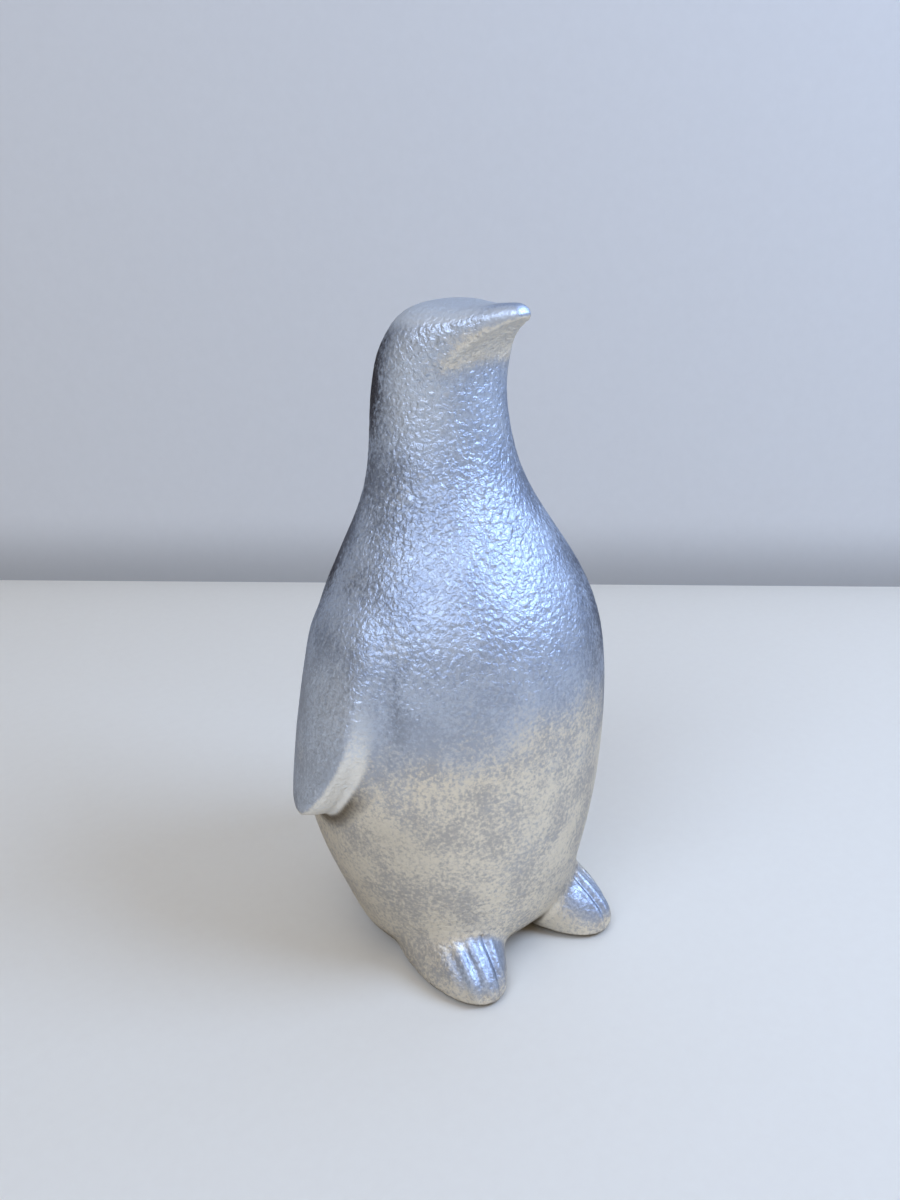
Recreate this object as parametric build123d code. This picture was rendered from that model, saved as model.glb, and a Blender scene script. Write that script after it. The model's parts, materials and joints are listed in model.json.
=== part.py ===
from build123d import *

import os
from math import cos, pi, radians, sin

# A standing penguin figurine, slip-cast hollow in clay, with flippers, feet and a tail luted on.
# Lengths are millimetres and angles are degrees. +Z is up, the penguin faces -Y, and its own
# right side is -X. Heights are above the table, and reaches are from an upright line inside the
# body. The pieces are centred over the origin at the end.

# Overall height, wall and floor
figure_height = 160.0
wall = 3.5
floor_thickness = 4.5

# Underside, belly and neck of the body
underside_height = 3.6
underside_front = 20.0
underside_back = 25.5
underside_half_width = 27.6
belly_height = 45.0
belly_front = 30.7
belly_back = 42.9
belly_half_width = 39.0
neck_front = 4.9
neck_back = 26.8
neck_half_width = 15.1

# Head and beak, drawn as a fan of sections that turns about a point in front of the throat
throat_radius = 15.4
head_height = 20.6
beak_reach = 21.0
beak_tip_angle = 72.9

# Flippers: each is the part of a flared copy of the body that lies inside the flipper's outline
flipper_top = 97.0
flipper_tip = 49.0
flipper_front = 9.0
flipper_back = 22.0
flipper_flare = 5.0
flare_forward_share = 0.85

# Feet and toes; each foot turns outward about its heel, and the left foot's grooves sit further out
foot_half_width = 10.7
foot_half_length = 20.5
foot_height = 11.0
heel_spread = 12.6
heel_setback = -7.8
foot_middle_height = 3.0
right_foot_splay = 9.0
left_foot_splay = 11.0
groove_spacing = 5.4
left_groove_shift = 2.7
groove_radius = 0.9

# Tail
tail_half_width = 9.0
tail_half_length = 13.0
tail_height = 10.0
tail_setback = 29.5

# Pour hole in the underside, and its soft bung
hole_setback = 7.0
hole_radius = 4.5
bung_clearance = 0.1
bung_flange_radius = 6.5
bung_flange_thickness = 1.4
bung_depth = 4.0

# Felt pads under the feet and the tail
pad_thickness = 1.0
pad_share = 0.80
tail_pad_share = 0.70

# Each row: how far up the step from the underside to the belly, then how far the front, the back
# and the sides have gone from the underside's reach to the belly's
lower_body_shares = (
    (0.0, 0.0, 0.0, 0.0),
    (0.13, 0.47, 0.21, 0.16),
    (0.348, 0.68, 0.477, 0.43),
    (0.638, 0.87, 0.816, 0.79),
    (1.0, 1.0, 1.0, 1.0),
)
# The same for the step from the belly up to the neck: 1 is still the belly's reach, 0 the neck's
upper_body_shares = (
    (0.158, 1.01, 0.882, 0.967),
    (0.316, 0.984, 0.665, 0.874),
    (0.474, 0.882, 0.52, 0.755),
    (0.621, 0.564, 0.19, 0.46),
    (0.758, 0.20, -0.068, 0.167),
    (0.874, 0.031, -0.068, 0.067),
)
# Each row: share of the turn to the beak tip, how far the crown is still from the beak tip's
# reach towards the nape's, how far the throat has gone from the neck to the beak tip's reach, the
# half width as a share of the neck's, and how much fuller the section is above than below
head_shares = (
    (0.0, 1.0, 0.0, 1.0, 0.0),
    (0.20, 0.83, 0.22, 1.01, 0.0),
    (0.40, 0.64, 0.27, 0.89, -0.05),
    (0.58, 0.29, 0.36, 0.735, -0.13),
    (0.74, 0.134, 0.50, 0.53, -0.22),
    (0.87, 0.073, 0.66, 0.325, -0.22),
    (0.95, 0.052, 0.79, 0.195, -0.10),
)
cavity_head_rows = 4
cavity_end_share = 0.66
# How far the flared copy stands out at each oval of the body from the underside up, as shares of
# the flipper's flare
flare_shares = (1.8, 1.8, 1.75, 1.65, 1.45, 1.08, 0.80, 0.42, 0.10, -0.2, -0.3)
# The flipper's outline, from its front shoulder down the front edge to the tip and up the back:
# shares from the front to the back, and from the top to the tip
flipper_outline_shares = (
    (0.20, 0.03), (0.09, 0.16), (0.02, 0.35), (0.0, 0.55), (0.02, 0.73), (0.13, 0.88), (0.29, 0.97),
    (0.49, 1.0), (0.72, 0.95), (0.90, 0.82), (0.98, 0.61), (1.0, 0.39), (0.91, 0.18), (0.67, 0.04), (0.41, 0.0),
)
section_points = 16


def blend(start, end, share):
    """The value at a share of the way from start to end."""
    return start + (end - start) * share


def oval(first, last, half_width, side, fullness=0.0):
    """An oval face between two end points, wide along the side direction.

    A fullness above zero makes it wider near the first end and narrower near the last.
    """
    middle = (first + last) / 2
    half_length = (first - last).length / 2
    plane = Plane(middle, x_dir=side, z_dir=side.cross(first - last))
    outline = []
    for step in range(section_points):
        turn = 2 * pi * step / section_points
        across = half_width * sin(turn) * (1 + fullness * cos(turn))
        outline.append(plane.from_local_coords((across, half_length * cos(turn), 0)))
    return make_face(Spline(*outline, periodic=True))


def body_oval(back, front, half_width, fullness=0.0):
    """An oval face across the body, from its back point to its front point, given as (y, z)."""
    return oval(Vector(0, *back), Vector(0, *front), half_width, Vector(1, 0, 0), fullness)


def fan_point(angle, distance):
    """The (y, z) point at an angle up from level and a distance from the throat point."""
    return (throat_y + distance * cos(radians(angle)), throat_z + distance * sin(radians(angle)))


throat_y = -neck_front - throat_radius
throat_z = figure_height - head_height
nape_reach = throat_radius + neck_front + neck_back


def trunk_rows():
    """The level, front reach, back reach and half width of each oval from the underside to the neck."""
    rows = []
    for level_share, front_share, back_share, side_share in lower_body_shares:
        level = blend(underside_height, belly_height, level_share)
        front = blend(underside_front, belly_front, front_share)
        back = blend(underside_back, belly_back, back_share)
        rows.append((level, front, back, blend(underside_half_width, belly_half_width, side_share)))
    for level_share, front_share, back_share, side_share in upper_body_shares:
        level = blend(belly_height, throat_z, level_share)
        front = blend(neck_front, belly_front, front_share)
        back = blend(neck_back, belly_back, back_share)
        rows.append((level, front, back, blend(neck_half_width, belly_half_width, side_share)))
    return rows


def trunk_ovals(inset, lowest):
    """The level ovals of the body from the lowest height up to the neck, drawn in by the inset."""
    faces = []
    for level, front, back, half_width in trunk_rows():
        height = max(level, lowest) if level == underside_height else level
        faces.append(body_oval((back - inset, height), (inset - front, height), half_width - inset))
    return faces


def flared_body():
    """A copy of the body from the underside to the neck that stands out further at the sides."""
    faces = []
    for (level, front, back, half_width), flare_share in zip(trunk_rows(), flare_shares):
        flare = flipper_flare * flare_share
        forward = flare * flare_forward_share
        faces.append(body_oval((back - forward, level), (-front - forward, level), half_width + flare))
    return loft(faces)


def head_ovals(inset, rows):
    """The fanned ovals of the head and beak, drawn in by the inset."""
    faces = []
    for angle_share, crown_share, throat_share, side_share, fullness in rows:
        angle = beak_tip_angle * angle_share
        outer = fan_point(angle, blend(beak_reach, nape_reach, crown_share) - inset)
        inner = fan_point(angle, blend(throat_radius, beak_reach, throat_share) + inset)
        faces.append(body_oval(outer, inner, neck_half_width * side_share - inset, fullness))
    return faces


def body_outside():
    """The body as a solid form, closed at the beak tip."""
    beak_tip = Vertex(0, *fan_point(beak_tip_angle, beak_reach))
    return loft([*trunk_ovals(0, underside_height), *head_ovals(0, head_shares), beak_tip])


def body_cavity():
    """The hollow inside the body, closed inside the head."""
    floor_top = underside_height + floor_thickness
    end_angle = beak_tip_angle * cavity_end_share
    end = Vertex(0, *fan_point(end_angle, beak_reach + wall / 2))
    rows = head_shares[:cavity_head_rows]
    return loft([*trunk_ovals(wall, floor_top), *head_ovals(wall, rows), end])


def body_shell():
    """The hollow cast body with its pour hole."""
    hole_middle = Pos(0, hole_setback, underside_height + floor_thickness / 2)
    return body_outside() - body_cavity() - hole_middle * Cylinder(hole_radius, 2 * floor_thickness)


def flipper():
    """The right flipper, before it is fitted to the body."""
    outline = []
    for back_share, down_share in flipper_outline_shares:
        reach = blend(-flipper_front, flipper_back, back_share)
        outline.append((0, reach, blend(flipper_top, flipper_tip, down_share)))
    side_view = make_face(Spline(*outline, periodic=True))
    return flared_body() & extrude(side_view, 2 * belly_half_width, dir=(-1, 0, 0))


def lobe(half_width, half_length, height):
    """A rounded lobe around its middle point, cut flat where the pad goes."""
    shape = scale(Sphere(1), by=(half_width, half_length, height))
    drop = foot_middle_height - pad_thickness
    return split(shape, bisect_by=Plane.XY.offset(-drop), keep=Keep.TOP)


def toe_groove(offset):
    """The cutter for one toe groove, following the top of the foot beside its middle."""
    narrowing = (1 - (offset / foot_half_width) ** 2) ** (1 / 2)
    plane = Plane((offset, 0, 0), x_dir=(0, -1, 0), z_dir=(1, 0, 0))
    path = plane * Edge.make_ellipse(foot_half_length * narrowing, foot_height * narrowing)
    start = Plane(path @ 0, z_dir=path % 0)
    return sweep(start * Circle(groove_radius), path=path)


def foot_place(turn):
    """Where the middle of a right foot sits, turned outward about its heel by an angle."""
    return Pos(-heel_spread, -heel_setback, 0) * Rot(0, 0, -turn) * Pos(0, -foot_half_length, 0)


def foot(turn, groove_shift):
    """A right foot with its toe grooves, before it is fitted to the body."""
    shape = lobe(foot_half_width, foot_half_length, foot_height)
    for side in (-1, 1):
        shape = shape - toe_groove(side * groove_spacing / 2 - groove_shift)
    return foot_place(turn) * Pos(0, 0, foot_middle_height) * shape


def foot_pad(turn):
    """The felt pad under a right foot."""
    outline = Ellipse(foot_half_width * pad_share, foot_half_length * pad_share)
    return foot_place(turn) * extrude(outline, pad_thickness)


def tail():
    """The tail, which props the back of the body, before it is fitted."""
    shape = lobe(tail_half_width, tail_half_length, tail_height)
    return Pos(0, tail_setback, foot_middle_height) * shape


def tail_pad():
    """The felt pad under the tail."""
    outline = Ellipse(tail_half_width * tail_pad_share, tail_half_length * tail_pad_share)
    return Pos(0, tail_setback, 0) * extrude(outline, pad_thickness)


def pour_hole_bung():
    """The soft bung in the pour hole, with its flange against the underside."""
    plug = Cylinder(hole_radius - bung_clearance, bung_depth, align=(Align.CENTER, Align.CENTER, Align.MIN))
    flange_height = (Align.CENTER, Align.CENTER, Align.MAX)
    flange = Cylinder(bung_flange_radius, bung_flange_thickness, align=flange_height)
    return Pos(0, hole_setback, underside_height) * (plug + flange)


def left_of(piece):
    """The mirrored copy of a right-hand piece for the left side."""
    return mirror(piece, about=Plane.YZ)


os.makedirs("parts", exist_ok=True)
outside = body_outside()
pieces = {
    "body_shell": body_shell(),
    "right_flipper": flipper() - outside,
    "left_flipper": left_of(flipper()) - outside,
    "right_foot": foot(right_foot_splay, 0) - outside,
    "left_foot": left_of(foot(left_foot_splay, left_groove_shift)) - outside,
    "tail": tail() - outside,
    "pour_hole_bung": pour_hole_bung(),
    "right_foot_pad": foot_pad(right_foot_splay),
    "left_foot_pad": left_of(foot_pad(left_foot_splay)),
    "tail_pad": tail_pad(),
}
boxes = [piece.bounding_box() for piece in pieces.values()]
foremost = min(box.min.Y for box in boxes)
rearmost = max(box.max.Y for box in boxes)
centring = Pos(0, -(foremost + rearmost) / 2, 0)
for name, piece in pieces.items():
    placed = centring * piece
    export_step(placed, f"parts/{name}.step")
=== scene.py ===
"""A penguin figurine in hammered clay under a silver lustre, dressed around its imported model.

The classes hold their sizes in millimetres, and MM turns them into Blender's metres. The penguin
faces -Y, its own right side is -X, and +Z is up from the table top.
"""

import json
import logging
import math
from dataclasses import dataclass, field
from enum import Enum
from functools import partial

import bmesh
import bpy
import numpy as np
from mathutils import Matrix, Vector
from mathutils.bvhtree import BVHTree

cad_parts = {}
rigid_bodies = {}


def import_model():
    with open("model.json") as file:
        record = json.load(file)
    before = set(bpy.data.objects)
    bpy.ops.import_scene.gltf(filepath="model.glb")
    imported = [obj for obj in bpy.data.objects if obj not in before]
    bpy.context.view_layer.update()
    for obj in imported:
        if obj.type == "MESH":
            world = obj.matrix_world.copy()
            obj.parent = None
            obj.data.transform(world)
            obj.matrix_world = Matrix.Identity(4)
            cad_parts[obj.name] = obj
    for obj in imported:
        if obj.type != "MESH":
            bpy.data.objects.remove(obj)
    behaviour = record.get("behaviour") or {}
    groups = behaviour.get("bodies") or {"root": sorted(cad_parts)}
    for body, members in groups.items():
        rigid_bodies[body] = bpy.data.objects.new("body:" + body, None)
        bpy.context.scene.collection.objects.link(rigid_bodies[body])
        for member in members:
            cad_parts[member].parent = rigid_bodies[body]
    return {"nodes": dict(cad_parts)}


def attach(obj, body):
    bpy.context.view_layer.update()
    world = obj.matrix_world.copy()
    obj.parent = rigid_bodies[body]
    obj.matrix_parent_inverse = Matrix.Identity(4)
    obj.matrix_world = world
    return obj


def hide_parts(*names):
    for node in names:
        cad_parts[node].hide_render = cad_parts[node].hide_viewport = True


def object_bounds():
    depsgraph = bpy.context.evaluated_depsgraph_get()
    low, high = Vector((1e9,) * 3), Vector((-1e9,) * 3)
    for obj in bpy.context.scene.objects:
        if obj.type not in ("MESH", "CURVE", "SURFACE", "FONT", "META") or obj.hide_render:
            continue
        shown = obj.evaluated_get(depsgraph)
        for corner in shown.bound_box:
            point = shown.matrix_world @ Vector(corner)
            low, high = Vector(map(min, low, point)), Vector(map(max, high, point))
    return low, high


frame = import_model()
cad_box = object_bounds()

MM = 0.001
# A search reach in metres that is past the far side of the figure
EVERYWHERE = 1.0
# Vertices nearer to each other than this, in millimetres, are one vertex written twice
WELD = 0.002
LOG = logging.getLogger("penguin")


class Slot(Enum):
    """The record's material slots."""

    BODY = "silver_body"
    FEET = "silver_feet"
    BUNG = "soft_bung"
    FELT = "felt"


def linear(hex_code: str) -> tuple[float, float, float, float]:
    """Turns an sRGB hex colour into the linear colour that a shader socket takes.

    Args:
        hex_code: six hex digits, with or without a leading hash.

    Returns:
        Linear red, green and blue, and an alpha of 1.
    """
    digits = hex_code.lstrip("#")
    shares = [int(digits[at : at + 2], 16) / 255 for at in (0, 2, 4)]
    values = [s / 12.92 if s <= 0.04045 else ((s + 0.055) / 1.055) ** 2.4 for s in shares]
    return (*values, 1.0)


def deselect() -> None:
    """Leaves nothing selected, so that an operator acts only on what is chosen next."""
    if bpy.context.object is not None and bpy.context.object.mode != "OBJECT":
        bpy.ops.object.mode_set(mode="OBJECT")
    bpy.ops.object.select_all(action="DESELECT")


def choose(piece: bpy.types.Object) -> None:
    """Makes one object the only selected and the active one.

    Args:
        piece: the object to work on.
    """
    deselect()
    piece.select_set(True)
    bpy.context.view_layer.objects.active = piece


def duplicate(source: bpy.types.Object, name: str) -> bpy.types.Object:
    """Copies an object with a mesh of its own, with the doubled vertices merged.

    Args:
        source: the object to copy, which stays as it is.
        name: the name of the copy.

    Returns:
        The copy, which rides on nothing yet.
    """
    copy = bpy.data.objects.new(name, source.data.copy())
    bpy.context.scene.collection.objects.link(copy)
    copy.data.materials.clear()
    choose(copy)
    bpy.ops.object.mode_set(mode="EDIT")
    bpy.ops.mesh.select_all(action="SELECT")
    bpy.ops.mesh.remove_doubles(threshold=WELD * MM)
    bpy.ops.mesh.normals_make_consistent(inside=False)
    bpy.ops.object.mode_set(mode="OBJECT")
    return copy


def join(pieces: list[bpy.types.Object], name: str) -> bpy.types.Object:
    """Joins several objects into one.

    Args:
        pieces: the objects, all of which end in the first one.
        name: the name of the joined object.

    Returns:
        The joined object.
    """
    deselect()
    for piece in pieces:
        piece.select_set(True)
    bpy.context.view_layer.objects.active = pieces[0]
    bpy.ops.object.join()
    pieces[0].name = name
    return pieces[0]


def finish_modifier(piece: bpy.types.Object, kind: str, name: str, **settings: object) -> None:
    """Adds a modifier with its settings and applies it.

    Args:
        piece: the object to change.
        kind: the modifier's type.
        name: the modifier's name.
        settings: values to set on the modifier.
    """
    choose(piece)
    modifier = piece.modifiers.new(name, kind)
    for key, value in settings.items():
        setattr(modifier, key, value)
    bpy.ops.object.modifier_apply(modifier=name)


def smooth(piece: bpy.types.Object, rounds: int, group: str = "") -> None:
    """Evens out a piece, or one vertex group of it, halfway in each round."""
    finish_modifier(piece, "SMOOTH", "smoothing", factor=0.5, iterations=rounds, vertex_group=group)


def press(
    piece: bpy.types.Object, name: str, length: float, depth: float, detail: int, group: str = ""
) -> None:
    """Presses a cloudy pattern into a piece, always inward.

    Args:
        piece: the object to change.
        name: what the pattern is.
        length: the size of its clouds, in millimetres.
        depth: how deep it is pressed, in millimetres.
        detail: how many finer layers of clouds it has.
        group: the vertex group that weakens it, if any.
    """
    texture = bpy.data.textures.new(name, "CLOUDS")
    texture.noise_scale = length * MM
    texture.noise_depth = detail
    relief = {"texture": texture, "texture_coords": "LOCAL", "direction": "NORMAL", "mid_level": 1.0}
    finish_modifier(piece, "DISPLACE", name, strength=depth * MM, vertex_group=group, **relief)
    bpy.data.textures.remove(texture)


def vertex_rows(piece: bpy.types.Object, kind: str) -> np.ndarray:
    """Reads one vector of each vertex of a mesh object.

    Args:
        piece: the mesh object.
        kind: co for the vertices' places, or normal for the way that they face.

    Returns:
        One row for each vertex.
    """
    flat = np.empty(len(piece.data.vertices) * 3)
    piece.data.vertices.foreach_get(kind, flat)
    return flat.reshape(-1, 3)


def coordinates(piece: bpy.types.Object) -> np.ndarray:
    """The vertex places of a mesh object, one row each."""
    return vertex_rows(piece, "co")


def normals(piece: bpy.types.Object) -> np.ndarray:
    """The vertex normals of a mesh object, one row each."""
    return vertex_rows(piece, "normal")


def move_to(piece: bpy.types.Object, places: np.ndarray) -> None:
    """Puts the vertices of a mesh object at new places."""
    piece.data.vertices.foreach_set("co", places.ravel())
    piece.data.update()


def ease(values: np.ndarray, start: float, end: float) -> np.ndarray:
    """A smooth step from 0 at start to 1 at end.

    Args:
        values: the numbers to step over.
        start: where the step begins.
        end: where the step ends, above or below start.

    Returns:
        A share from 0 to 1 for each value.
    """
    share = np.clip((values - start) / (end - start), 0, 1)
    return share * share * (3 - 2 * share)


def surface_of(piece: bpy.types.Object) -> BVHTree:
    """A search tree over the faces of a mesh object."""
    return BVHTree.FromObject(piece, bpy.context.evaluated_depsgraph_get())


def nearest(places: np.ndarray, tree: BVHTree, reach: float) -> tuple[np.ndarray, np.ndarray]:
    """The nearest points of a surface, and how far away they are.

    Args:
        places: one row for each place.
        tree: the surface.
        reach: the distance past which the search ends, in metres.

    Returns:
        The nearest point for each place, or the place itself where nothing is within reach, and
        the distance to it, or the reach.
    """
    points = places.copy()
    gaps = np.full(len(places), reach)
    for index, place in enumerate(places):
        point, _, _, gap = tree.find_nearest(place, reach)
        if point is not None:
            points[index] = point
            gaps[index] = gap
    return points, gaps


def gaps_to_rim(places: np.ndarray, rim: np.ndarray) -> np.ndarray:
    """How far places are from a flipper's outline, seen from its side.

    Args:
        places: one row for each place.
        rim: one (y, z) row for each point of the outline.

    Returns:
        The distance of each place from the nearest point of the outline, in metres.
    """
    gaps = np.full(len(places), np.inf)
    for y, z in rim:
        gaps = np.minimum(gaps, np.hypot(places[:, 1] - y, places[:, 2] - z))
    return gaps


def name_share(piece: bpy.types.Object, name: str, shares: np.ndarray) -> None:
    """Keeps one number from 0 to 1 for each vertex as a named attribute of the mesh."""
    attribute = piece.data.attributes.new(name, "FLOAT", "POINT")
    attribute.data.foreach_set("value", shares.astype(np.float32))


def group_share(piece: bpy.types.Object, name: str, shares: np.ndarray) -> str:
    """Puts the vertices in a vertex group, each with its share as its weight.

    Args:
        piece: the mesh object.
        name: the group's name.
        shares: one weight from 0 to 1 for each vertex.

    Returns:
        The group's name, for a modifier.
    """
    group = piece.vertex_groups.new(name=name)
    for index in np.nonzero(shares > 0)[0]:
        group.add([int(index)], float(shares[index]), "REPLACE")
    return group.name


def turned_form(name: str, profile: list[tuple[float, float]], sides: int = 48) -> bpy.types.Object:
    """Extrudes a filled circle from step to step of a profile into a closed round form.

    Args:
        name: the form's name.
        profile: (radius, height) of each step from the bottom to the top, in millimetres.
        sides: how many sides the circle has.

    Returns:
        The form about the Z axis.
    """
    deselect()
    radius, height = profile[0]
    bpy.ops.mesh.primitive_circle_add(
        vertices=sides, radius=radius * MM, fill_type="NGON", location=(0, 0, height * MM)
    )
    form = bpy.context.object
    form.name = name
    bpy.ops.object.transform_apply(location=True, rotation=True, scale=True)
    bpy.ops.object.mode_set(mode="EDIT")
    bpy.ops.mesh.select_all(action="SELECT")
    for radius, height in profile[1:]:
        bpy.ops.mesh.extrude_region_move()
        mesh = bmesh.from_edit_mesh(form.data)
        for vertex in mesh.verts:
            if vertex.select:
                flat = vertex.co.xy.normalized() * radius * MM
                vertex.co = (*flat, height * MM)
        bmesh.update_edit_mesh(form.data)
    bpy.ops.mesh.select_all(action="SELECT")
    bpy.ops.mesh.normals_make_consistent(inside=False)
    bpy.ops.object.mode_set(mode="OBJECT")
    return form


@dataclass(frozen=True)
class Ring:
    """One section of the body, from its back or crown to its front or throat.

    Attributes:
        crown: (y, z) of the back or crown point.
        base: (y, z) of the front or throat point, and of the jaw ridge on the beak.
        half_width: the section's half width.
        jaw: from 0, an oval, to 1, the beak's section with a jaw ridge and a hollow underside.
        ridge: the jaw ridge's distance from the middle, as a share of the half width.
    """

    crown: tuple[float, float]
    base: tuple[float, float]
    half_width: float
    jaw: float = 0.0
    ridge: float = 0.707


@dataclass
class Body:
    """The torso, neck, head and beak, drawn as one closed form from ring to ring."""

    sides: int = 32
    bottom_inset: float = 0.90
    # Height, then how far the front, the back and the sides reach
    trunk: tuple[tuple[float, float, float, float], ...] = (
        (3.6, 24.6, 20.0, 27.2),
        (6.2, 28.0, 21.8, 28.4),
        (9.0, 30.1, 24.1, 29.4),
        (18.0, 32.4, 28.7, 32.5),
        (30.0, 34.4, 34.6, 36.6),
        (45.0, 35.8, 37.8, 39.0),
        (59.9, 36.2, 35.9, 38.8),
        (74.8, 36.1, 32.6, 37.3),
        (89.7, 33.5, 30.5, 34.8),
        (103.6, 24.9, 25.0, 26.8),
        (116.6, 15.1, 20.6, 19.1),
        (127.5, 10.8, 20.6, 16.7),
    )
    head: tuple[Ring, ...] = (
        Ring((21.7, 139.4), (-10.0, 139.4), 15.1),
        Ring((16.6, 150.6), (-9.4, 143.8), 15.3, 0.08, 0.70),
        Ring((8.6, 158.3), (-10.2, 147.3), 13.7, 0.35, 0.67),
        Ring((0.2, 158.8), (-11.3, 149.4), 11.6, 0.65, 0.61),
        Ring((-6.5, 158.5), (-13.5, 152.2), 9.0, 0.92, 0.63),
        Ring((-11.3, 159.3), (-16.1, 154.6), 6.4, 1.0, 0.71),
        Ring((-15.0, 159.9), (-18.7, 156.2), 4.4, 1.0, 0.76),
        Ring((-17.6, 160.3), (-20.6, 156.9), 3.2, 0.9, 0.80),
        Ring((-19.0, 160.4), (-21.5, 157.4), 2.6, 0.7, 0.78),
        Ring((-20.2, 160.3), (-22.0, 158.1), 2.0, 0.4, 0.74),
    )
    tip: tuple[float, float] = (-21.3, 159.4)
    tip_share: float = 0.55
    # Half of the beak's section, from the crown down to the jaw ridge and in under it: shares of
    # the way from the base to the crown, as -1 to 1, and of the half width
    beak_shares: tuple[tuple[float, float], ...] = (
        (1.0, 0.0), (0.99, 0.22), (0.97, 0.44), (0.92, 0.63), (0.80, 0.75), (0.64, 0.83),
        (0.48, 0.90), (0.27, 0.96), (0.04, 0.99), (-0.2, 0.98), (-0.46, 0.93), (-0.74, 0.85),
        (-1.0, 0.75), (-0.89, 0.54), (-0.81, 0.35), (-0.77, 0.17), (-0.76, 0.0),
    )
    # The jaw ridge's step round the section, the head's ring that it is crisp from, and how crisp
    ridge_step: int = 12
    first_crisp: int = 3
    ridge_crease: float = 0.6
    # Pour hole in the underside: its middle in Y, its radius and how deep it shows
    pour_hole: tuple[float, float, float] = (1.93, 4.5, 7.0)

    def rings(self) -> list[Ring]:
        """The rings from the underside to the beak."""
        low = [Ring((back, z), (-front, z), side) for z, front, back, side in self.trunk]
        return [*low, *self.head]

    def outline(self, ring: Ring) -> list[Vector]:
        """The points of one ring, round from its crown.

        Args:
            ring: the ring to draw.

        Returns:
            One point in metres for each side of the form.
        """
        crown, base = Vector((0, *ring.crown)), Vector((0, *ring.base))
        middle, half = (crown + base) / 2, (crown - base) / 2
        points = []
        for step in range(self.sides):
            turn = 2 * math.pi * step / self.sides
            near = min(step, self.sides - step)
            along, across = self.beak_shares[near]
            across *= self.ridge_pull(near, ring.ridge)
            along = math.cos(turn) + (along - math.cos(turn)) * ring.jaw
            across = abs(math.sin(turn)) + (across - abs(math.sin(turn))) * ring.jaw
            side = math.copysign(1, math.sin(turn)) if near % (self.sides // 2) else 0
            points.append((middle + half * along + Vector((side * across * ring.half_width, 0, 0))) * MM)
        return points

    def ridge_pull(self, near: int, ridge: float) -> float:
        """How far a point of the beak's section follows the jaw ridge inward or outward.

        Args:
            near: the point's step from the crown, down its own side.
            ridge: the ring's jaw ridge, as a share of its half width.

        Returns:
            What the point's distance from the middle is multiplied by.
        """
        widest = self.sides // 4
        if near <= widest:
            return 1.0
        written = self.beak_shares[self.ridge_step][1]
        weight = min((near - widest) / (self.ridge_step - widest), 1.0)
        return 1.0 + (ridge / written - 1.0) * weight

    def build(self) -> bpy.types.Object:
        """Extrudes the form ring by ring from a filled circle, and smooths it.

        Returns:
            The closed form.
        """
        sections = self.rings()
        rings = [self.outline(ring) for ring in sections]
        middle, end = (sum(rings[at], Vector()) / self.sides for at in (0, -1))
        inset = [middle + (point - middle) * self.bottom_inset for point in rings[0]]
        deselect()
        radius = sections[0].half_width * MM
        bpy.ops.mesh.primitive_circle_add(vertices=self.sides, radius=radius, fill_type="NGON")
        form = bpy.context.object
        form.name = "clay_body"
        bpy.ops.object.mode_set(mode="EDIT")
        mesh = bmesh.from_edit_mesh(form.data)
        # Which step round the section a vertex is, which each extrusion hands on
        steps = mesh.verts.layers.int.new("step")
        for vertex in mesh.verts:
            turn = math.atan2(vertex.co.x, vertex.co.y) % (2 * math.pi)
            vertex[steps] = round(turn / (2 * math.pi) * self.sides) % self.sides
        bmesh.update_edit_mesh(form.data)
        bpy.ops.mesh.select_all(action="SELECT")
        self.place_ring(form, inset)
        for points in rings:
            bpy.ops.mesh.extrude_region_move()
            self.place_ring(form, points)
        tip = [Vector((0, *self.tip)) * MM + (point - end) * self.tip_share for point in rings[-1]]
        bpy.ops.mesh.extrude_region_move()
        self.place_ring(form, tip)
        self.crease_ridges(form)
        bpy.ops.mesh.select_all(action="SELECT")
        bpy.ops.mesh.normals_make_consistent(inside=False)
        bpy.ops.object.mode_set(mode="OBJECT")
        finish_modifier(form, "SUBSURF", "rounding", levels=2, render_levels=2)
        self.bore(form)
        return form

    def crease_ridges(self, form: bpy.types.Object) -> None:
        """Keeps the two jaw ridges crisp where the beak's section is full.

        Args:
            form: the form, in edit mode and before its smoothing.
        """
        mesh = bmesh.from_edit_mesh(form.data)
        steps = mesh.verts.layers.int["step"]
        creases = mesh.edges.layers.float.new("crease_edge")
        front, height = (value * MM for value in self.head[self.first_crisp].base)
        for edge in mesh.edges:
            first, second = edge.verts
            lengthwise = first[steps] == second[steps]
            on_ridge = min(first[steps], self.sides - first[steps]) == self.ridge_step
            on_beak = all(vertex.co.y < front and vertex.co.z > height for vertex in edge.verts)
            if lengthwise and on_ridge and on_beak:
                edge[creases] = self.ridge_crease
        bmesh.update_edit_mesh(form.data)

    def bore(self, form: bpy.types.Object) -> None:
        """Bores the pour hole into the underside.

        Args:
            form: the finished form.
        """
        middle, radius, depth = self.pour_hole
        floor = self.trunk[0][0]
        cutter = turned_form("pour_hole_cutter", [(radius, floor - depth), (radius, floor + depth)])
        move_to(cutter, coordinates(cutter) + np.array([0, middle * MM, 0]))
        finish_modifier(form, "BOOLEAN", "pour_hole", operation="DIFFERENCE", solver="EXACT", object=cutter)
        bpy.data.objects.remove(cutter)

    def place_ring(self, form: bpy.types.Object, points: list[Vector]) -> None:
        """Moves the selected ring's vertices to the points of its outline.

        Args:
            form: the form, in edit mode.
            points: the outline's points, one for each step round the section.
        """
        mesh = bmesh.from_edit_mesh(form.data)
        steps = mesh.verts.layers.int["step"]
        for vertex in mesh.verts:
            if vertex.select:
                vertex.co = points[vertex[steps]]
        bmesh.update_edit_mesh(form.data)


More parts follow.
